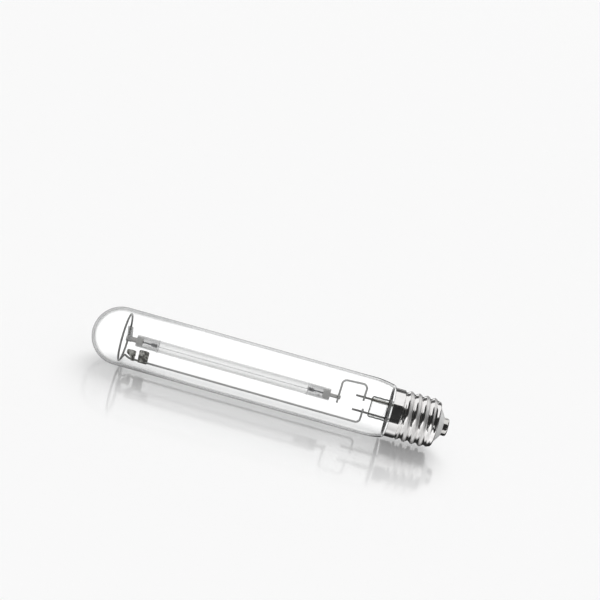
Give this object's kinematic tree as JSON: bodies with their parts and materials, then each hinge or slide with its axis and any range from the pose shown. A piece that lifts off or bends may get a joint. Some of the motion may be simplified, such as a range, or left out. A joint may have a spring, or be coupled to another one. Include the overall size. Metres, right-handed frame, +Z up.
{
  "type": "high pressure sodium lamp",
  "caption": "Long clear tubular discharge lamp with a ceramic arc tube on a wire frame and a large screw cap.",
  "frame": {"origin": "on the surface under the middle of the lying lamp, straight below its axis", "axes": "+X along the lamp from the dome to the cap, +Z up with the frame rod lowest"},
  "size_m": [0.285, 0.046, 0.046],
  "materials": {
    "bulb_glass": "clear polished",
    "stem_glass": "clear fire polished",
    "bead_glass": "olive tinted",
    "lead_molybdenum": "dark drawn",
    "frame_nickel": "drawn wire",
    "strap_nickel": "rolled strip",
    "arc_alumina": "translucent satin",
    "plug_alumina": "matt",
    "niobium": "satin",
    "tungsten": "matt",
    "amalgam": "liquid bright",
    "starting_wire": "drawn wire",
    "getter_metal": "dark matt",
    "shell_nickel": "nickel plated",
    "cement": "matt",
    "insulator_white": "glazed",
    "contact_nickel": "nickel plated",
    "solder": "dull bright",
    "flex_copper": "bare wire"
  },
  "bodies": {
    "root": {"outer_bulb": "bulb_glass", "stem": "stem_glass", "lead_upper": "lead_molybdenum", "lead_lower": "lead_molybdenum", "lead_bead": "bead_glass", "frame_wire": "frame_nickel", "bow_wire": "frame_nickel", "tube_strap": "strap_nickel", "arc_tube": "arc_alumina", "plug_dome": "plug_alumina", "plug_cap": "plug_alumina", "niobium_tube_dome": "niobium", "niobium_tube_cap": "niobium", "electrode_dome": "tungsten", "electrode_cap": "tungsten", "electrode_coil_dome": "tungsten", "electrode_coil_cap": "tungsten", "amalgam_dose": "amalgam", "starting_wire": "starting_wire", "getter_flag_a": "getter_metal", "getter_flag_b": "getter_metal", "screw_shell": "shell_nickel", "base_cement": "cement", "base_insulator": "insulator_white", "centre_contact": "contact_nickel", "contact_solder": "solder", "flex_lead_contact": "flex_copper", "flex_lead_shell": "flex_copper"}
  },
  "joints": []
}
